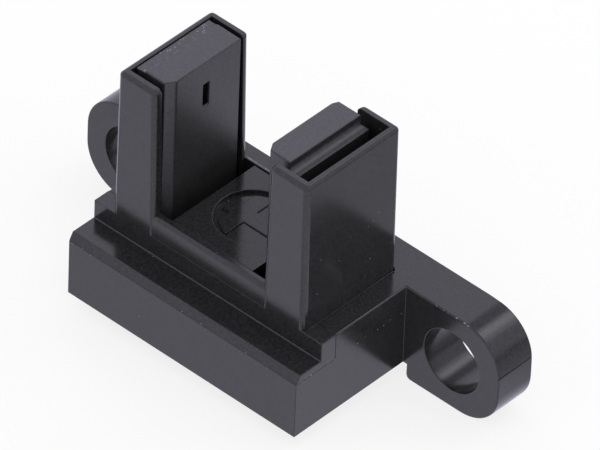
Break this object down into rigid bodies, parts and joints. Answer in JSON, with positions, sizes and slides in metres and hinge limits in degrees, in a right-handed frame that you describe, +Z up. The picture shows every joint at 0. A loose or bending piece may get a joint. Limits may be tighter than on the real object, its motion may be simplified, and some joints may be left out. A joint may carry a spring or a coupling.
{
  "type": "slotted optical switch",
  "caption": "Black slotted optical switch: towers either side of a sensing slot on a low base with screw ears, a light slit facing the slot and a connector underneath.",
  "frame": {"origin": "under the middle of the part, at the level of the feet of the ears and the mouth of the connector", "axes": "+X across the slot from the detector to the emitter, +Y from the front lip to the flat back, +Z up along the towers"},
  "size_m": [0.0314, 0.0116, 0.017],
  "materials": {
    "case_plastic": "fine moulded semi-gloss",
    "holder_plastic": "smooth moulded semi-gloss",
    "detector_resin": "moulded epoxy",
    "emitter_resin": "tinted epoxy",
    "tinned_lead": "tinned",
    "board_laminate": "solder mask",
    "connector_plastic": "moulded",
    "pin_brass": "plated",
    "chip_body": "ceramic chip with metal ends",
    "solder": "reflowed solder"
  },
  "bodies": {
    "root": {"base_case": "case_plastic", "tower_case": "case_plastic", "element_carrier": "holder_plastic", "detector_holder": "holder_plastic", "emitter_holder": "holder_plastic", "photo_ic": "detector_resin", "photo_ic_lead_supply": "tinned_lead", "photo_ic_lead_output": "tinned_lead", "photo_ic_lead_ground": "tinned_lead", "infrared_led": "emitter_resin", "led_lead_anode": "tinned_lead", "led_lead_cathode": "tinned_lead", "circuit_board": "board_laminate", "connector_housing": "connector_plastic", "connector_pin_supply": "pin_brass", "connector_pin_output": "pin_brass", "connector_pin_ground": "pin_brass", "led_resistor": "chip_body", "pull_up_resistor": "chip_body", "bypass_capacitor": "chip_body", "solder_joints": "solder"}
  },
  "joints": []
}
